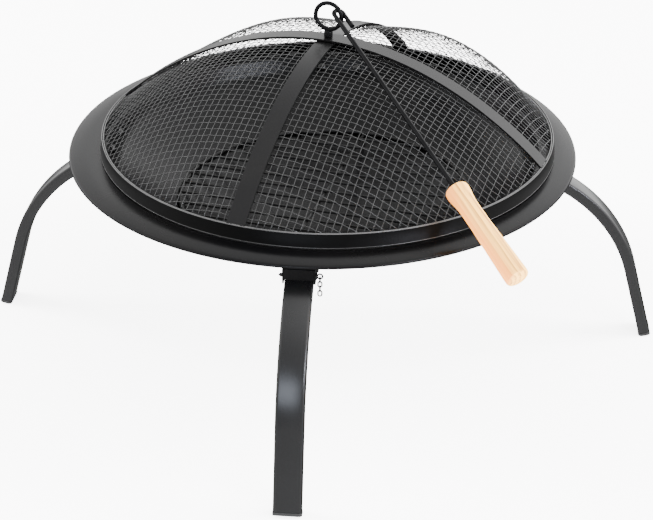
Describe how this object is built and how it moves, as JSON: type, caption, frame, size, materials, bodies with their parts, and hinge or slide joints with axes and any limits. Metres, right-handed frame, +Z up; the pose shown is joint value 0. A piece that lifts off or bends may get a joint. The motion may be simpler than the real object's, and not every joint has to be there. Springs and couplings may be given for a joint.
{
  "type": "fire pit",
  "caption": "Folding steel fire bowl on bent flat legs, with a wire grate, a domed mesh lid under crossed straps and a wood-handled poker hung in the lid's ring.",
  "frame": {"origin": "on the floor, under the middle of the bowl and its four feet", "axes": "+Z up, -Y along the front leg, +X along the right leg"},
  "size_m": [0.7668, 0.7668, 0.3893],
  "materials": {
    "black_paint": "satin heat-proof paint",
    "leg_paint": "satin",
    "black_plastic": "matte",
    "dark_steel": "blackened",
    "zinc_steel": "zinc plated",
    "mesh_black": "matte paint",
    "pale_wood": "bare turned wood"
  },
  "bodies": {
    "leg_front": {"leg_front": "leg_paint", "foot_cap_front": "black_plastic"},
    "lock_pin_front": {"lock_pin_front": "dark_steel", "pin_chain_front": "dark_steel"},
    "leg_right": {"leg_right": "leg_paint", "foot_cap_right": "black_plastic"},
    "lock_pin_right": {"lock_pin_right": "dark_steel", "pin_chain_right": "dark_steel"},
    "leg_back": {"leg_back": "leg_paint", "foot_cap_back": "black_plastic"},
    "lock_pin_back": {"lock_pin_back": "dark_steel", "pin_chain_back": "dark_steel"},
    "leg_left": {"leg_left": "leg_paint", "foot_cap_left": "black_plastic"},
    "lock_pin_left": {"lock_pin_left": "dark_steel", "pin_chain_left": "dark_steel"},
    "base": {"fire_bowl": "black_paint", "leg_bracket_front": "black_paint", "bracket_bolt_front_1": "dark_steel", "bracket_nut_front_1": "zinc_steel", "bracket_bolt_front_2": "dark_steel", "bracket_nut_front_2": "zinc_steel", "pivot_pin_front": "dark_steel", "leg_bracket_right": "black_paint", "bracket_bolt_right_1": "dark_steel", "bracket_nut_right_1": "zinc_steel", "bracket_bolt_right_2": "dark_steel", "bracket_nut_right_2": "zinc_steel", "pivot_pin_right": "dark_steel", "leg_bracket_back": "black_paint", "bracket_bolt_back_1": "dark_steel", "bracket_nut_back_1": "zinc_steel", "bracket_bolt_back_2": "dark_steel", "bracket_nut_back_2": "zinc_steel", "pivot_pin_back": "dark_steel", "leg_bracket_left": "black_paint", "bracket_bolt_left_1": "dark_steel", "bracket_nut_left_1": "zinc_steel", "bracket_bolt_left_2": "dark_steel", "bracket_nut_left_2": "zinc_steel", "pivot_pin_left": "dark_steel"},
    "grate": {"grate": "dark_steel"},
    "lid": {"lid_hoop": "black_paint", "strap_lower": "black_paint", "strap_upper": "black_paint", "lid_mesh": "mesh_black", "eye_bolt": "black_paint", "crown_nut": "zinc_steel"},
    "poker": {"poker_rod": "dark_steel", "poker_handle": "pale_wood"}
  },
  "joints": [
    {"name": "leg_fold_front", "type": "hinge", "parent": "base", "child": "leg_front", "pos_m": [0, -0.24373, 0.2031], "axis": [1, 0, 0], "range_deg": [0, 97]},
    {"name": "lock_pull_front", "type": "slide", "parent": "base", "child": "lock_pin_front", "axis": [1, 0, 0], "range_m": [0, 0.038]},
    {"name": "leg_fold_right", "type": "hinge", "parent": "base", "child": "leg_right", "pos_m": [0.24373, 0, 0.2031], "axis": [0, 1, 0], "range_deg": [0, 97]},
    {"name": "lock_pull_right", "type": "slide", "parent": "base", "child": "lock_pin_right", "axis": [0, 1, 0], "range_m": [0, 0.038]},
    {"name": "leg_fold_back", "type": "hinge", "parent": "base", "child": "leg_back", "pos_m": [0, 0.24373, 0.2031], "axis": [-1, 0, 0], "range_deg": [0, 97]},
    {"name": "lock_pull_back", "type": "slide", "parent": "base", "child": "lock_pin_back", "axis": [-1, 0, 0], "range_m": [0, 0.038]},
    {"name": "leg_fold_left", "type": "hinge", "parent": "base", "child": "leg_left", "pos_m": [-0.24373, 0, 0.2031], "axis": [0, -1, 0], "range_deg": [0, 97]},
    {"name": "lock_pull_left", "type": "slide", "parent": "base", "child": "lock_pin_left", "axis": [0, -1, 0], "range_m": [0, 0.038]},
    {"name": "grate_lift", "type": "slide", "parent": "base", "child": "grate", "axis": [0, 0, 1], "range_m": [0, 0.08]},
    {"name": "lid_lift", "type": "slide", "parent": "base", "child": "lid", "axis": [0, 0, 1], "range_m": [0, 0.12]},
    {"name": "poker_swing", "type": "hinge", "parent": "lid", "child": "poker", "pos_m": [0.01945, -0.00368, 0.3748], "axis": [0, 0, 1], "range_deg": [-30, 25]}
  ]
}
